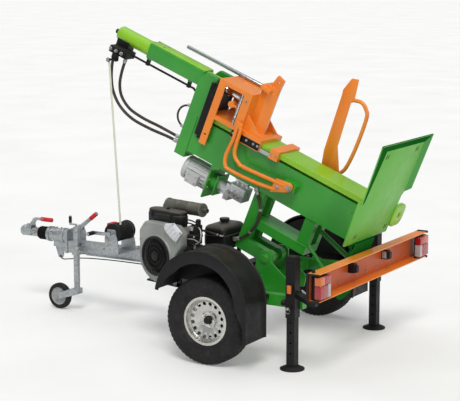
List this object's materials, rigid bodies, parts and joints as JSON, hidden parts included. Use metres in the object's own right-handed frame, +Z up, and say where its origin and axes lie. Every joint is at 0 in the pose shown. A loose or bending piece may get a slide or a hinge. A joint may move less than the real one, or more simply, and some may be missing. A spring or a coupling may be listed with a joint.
{
  "type": "towable log splitter",
  "caption": "Towable vertical log splitter lying in road position: tilting hydraulic column with wedge and base plate on a two-wheel trailer with engine, drop legs and light bar.",
  "frame": {"origin": "on the ground, at the middle of the machine's plan box", "axes": "+X to the rear, +Y to the machine's right-hand side, +Z up; the column lies in its road position"},
  "size_m": [3.2786, 1.836, 2.1782],
  "materials": {
    "green_paint": "gloss paint",
    "lime_paint": "gloss paint",
    "orange_paint": "gloss paint",
    "black_paint": "satin paint",
    "galvanised": "hot-dip galvanised",
    "grey_casting": "painted casting",
    "bright_alloy": "satin",
    "silver_paint": "silver paint",
    "chrome_rod": "polished",
    "tyre_rubber": "matt",
    "black_plastic": "moulded",
    "black_rubber": "matt",
    "rope_fibre": "twisted rope",
    "lamp_red": "clear moulded lens",
    "lamp_amber": "clear moulded lens"
  },
  "bodies": {
    "trailer": {"rail_near": "green_paint", "rail_far": "green_paint", "front_beam": "black_paint", "mid_beam": "green_paint", "axle_beam": "black_paint", "drawbar": "galvanised", "overrun_housing": "grey_casting", "bellows": "black_rubber", "winch_frame": "galvanised", "winch_case": "black_paint", "mudguard_near": "black_plastic", "mudguard_far": "black_plastic", "engine_block": "grey_casting", "blower_housing": "grey_casting", "fan_grille": "black_plastic", "cylinder_cover": "bright_alloy", "air_cleaner": "black_plastic", "muffler": "grey_casting", "fuel_tank": "black_plastic", "leg_sleeve_near": "black_paint", "leg_sleeve_far": "black_paint", "side_markers": "lamp_amber"},
    "left_wheel": {"tyre_near": "tyre_rubber", "rim_near": "silver_paint"},
    "right_wheel": {"tyre_far": "tyre_rubber", "rim_far": "silver_paint"},
    "jockey_stem": {"jockey_tube": "galvanised"},
    "jockey_swivel": {"jockey_fork": "galvanised"},
    "jockey_roller": {"jockey_wheel": "tyre_rubber"},
    "drawtube": {"coupling_head": "galvanised"},
    "coupling_handle": {"coupling_lever": "black_paint"},
    "handbrake": {"handbrake_lever": "grey_casting"},
    "crank": {"winch_crank": "galvanised"},
    "light_gate": {"light_bar": "orange_paint", "tail_lamps": "lamp_red", "plate_lamps": "black_plastic"},
    "left_leg": {"leg_near": "black_paint"},
    "right_leg": {"leg_far": "black_paint"},
    "column": {"column_box": "green_paint", "guide_rail": "lime_paint", "base_plate": "green_paint", "sub_frame": "green_paint", "head_box": "green_paint", "head_plate": "black_paint", "cylinder_housing": "green_paint", "cylinder_barrel": "lime_paint", "cylinder_lines": "black_paint", "electric_motor": "bright_alloy", "bell_housing": "green_paint", "hydraulic_pump": "bright_alloy", "hose_front": "black_rubber", "hose_rear": "black_rubber", "hose_loop": "black_rubber"},
    "carriage": {"carriage_frame": "orange_paint", "wedge": "orange_paint", "piston_rod": "chrome_rod", "trip_rods": "galvanised"},
    "near_arm": {"control_arm": "orange_paint"},
    "far_arm": {"holding_arm": "orange_paint"},
    "tie_rope": {"rope": "rope_fibre"}
  },
  "joints": [
    {"name": "column_tilt", "type": "hinge", "parent": "trailer", "child": "column", "pos_m": [0.63572, 0, 0.6], "axis": [0, 1, 0], "range_deg": [0, 67.7]},
    {"name": "light_gate_swing", "type": "hinge", "parent": "trailer", "child": "light_gate", "pos_m": [1.37772, -0.807, 0.62], "axis": [0, 0, -1], "range_deg": [0, 108.4]},
    {"name": "rope_swing", "type": "hinge", "parent": "column", "child": "tie_rope", "pos_m": [-0.60715, -0.225, 1.94954], "axis": [0, 1, 0], "range_deg": [-67.7, 0]},
    {"name": "wedge_slide", "type": "slide", "parent": "column", "child": "carriage", "axis": [0.9252, 0, -0.3795], "range_m": [0, 0.6]},
    {"name": "control_arm_fold", "type": "hinge", "parent": "column", "child": "near_arm", "pos_m": [0.85701, -0.18, 1.1264], "axis": [0, 1, 0], "range_deg": [0, 90]},
    {"name": "holding_arm_fold", "type": "hinge", "parent": "column", "child": "far_arm", "pos_m": [0.96798, 0.18, 1.15979], "axis": [0, 1, 0], "range_deg": [-80, 0]},
    {"name": "left_wheel_spin", "type": "hinge", "parent": "trailer", "child": "left_wheel", "pos_m": [0.58571, -0.7805, 0.2975], "axis": [0, 1, 0], "continuous": true},
    {"name": "right_wheel_spin", "type": "hinge", "parent": "trailer", "child": "right_wheel", "pos_m": [0.58571, 0.7805, 0.2975], "axis": [0, 1, 0], "continuous": true},
    {"name": "jockey_lift", "type": "slide", "parent": "trailer", "child": "jockey_stem", "axis": [0, 0, 1], "range_m": [0, 0.18]},
    {"name": "jockey_steer", "type": "hinge", "parent": "jockey_stem", "child": "jockey_swivel", "pos_m": [-1.04428, -0.079, 0.2], "axis": [0, 0, 1], "continuous": true},
    {"name": "jockey_roll", "type": "hinge", "parent": "jockey_swivel", "child": "jockey_roller", "pos_m": [-1.20928, -0.079, 0.1], "axis": [0, 1, 0], "continuous": true},
    {"name": "overrun_slide", "type": "slide", "parent": "trailer", "child": "drawtube", "axis": [1, 0, 0], "range_m": [0, 0.07], "deforming": ["bellows"]},
    {"name": "coupling_handle_lift", "type": "hinge", "parent": "drawtube", "child": "coupling_handle", "pos_m": [-1.54129, 0, 0.612], "axis": [0, -1, 0], "range_deg": [0, 50]},
    {"name": "handbrake_pull", "type": "hinge", "parent": "trailer", "child": "handbrake", "pos_m": [-1.09428, 0.038, 0.626], "axis": [0, -1, 0], "range_deg": [0, 45]},
    {"name": "winch_turn", "type": "hinge", "parent": "trailer", "child": "crank", "pos_m": [-0.57029, -0.2, 0.682], "axis": [0, 1, 0], "continuous": true},
    {"name": "left_leg_drop", "type": "slide", "parent": "trailer", "child": "left_leg", "axis": [0, 0, 1], "range_m": [0, 0.28]},
    {"name": "right_leg_drop", "type": "slide", "parent": "trailer", "child": "right_leg", "axis": [0, 0, 1], "range_m": [0, 0.28]}
  ],
  "couplings": [
    {"joint": "light_gate_swing", "follows": "column_tilt", "ratio": 1.6},
    {"joint": "rope_swing", "follows": "column_tilt", "ratio": -1}
  ]
}
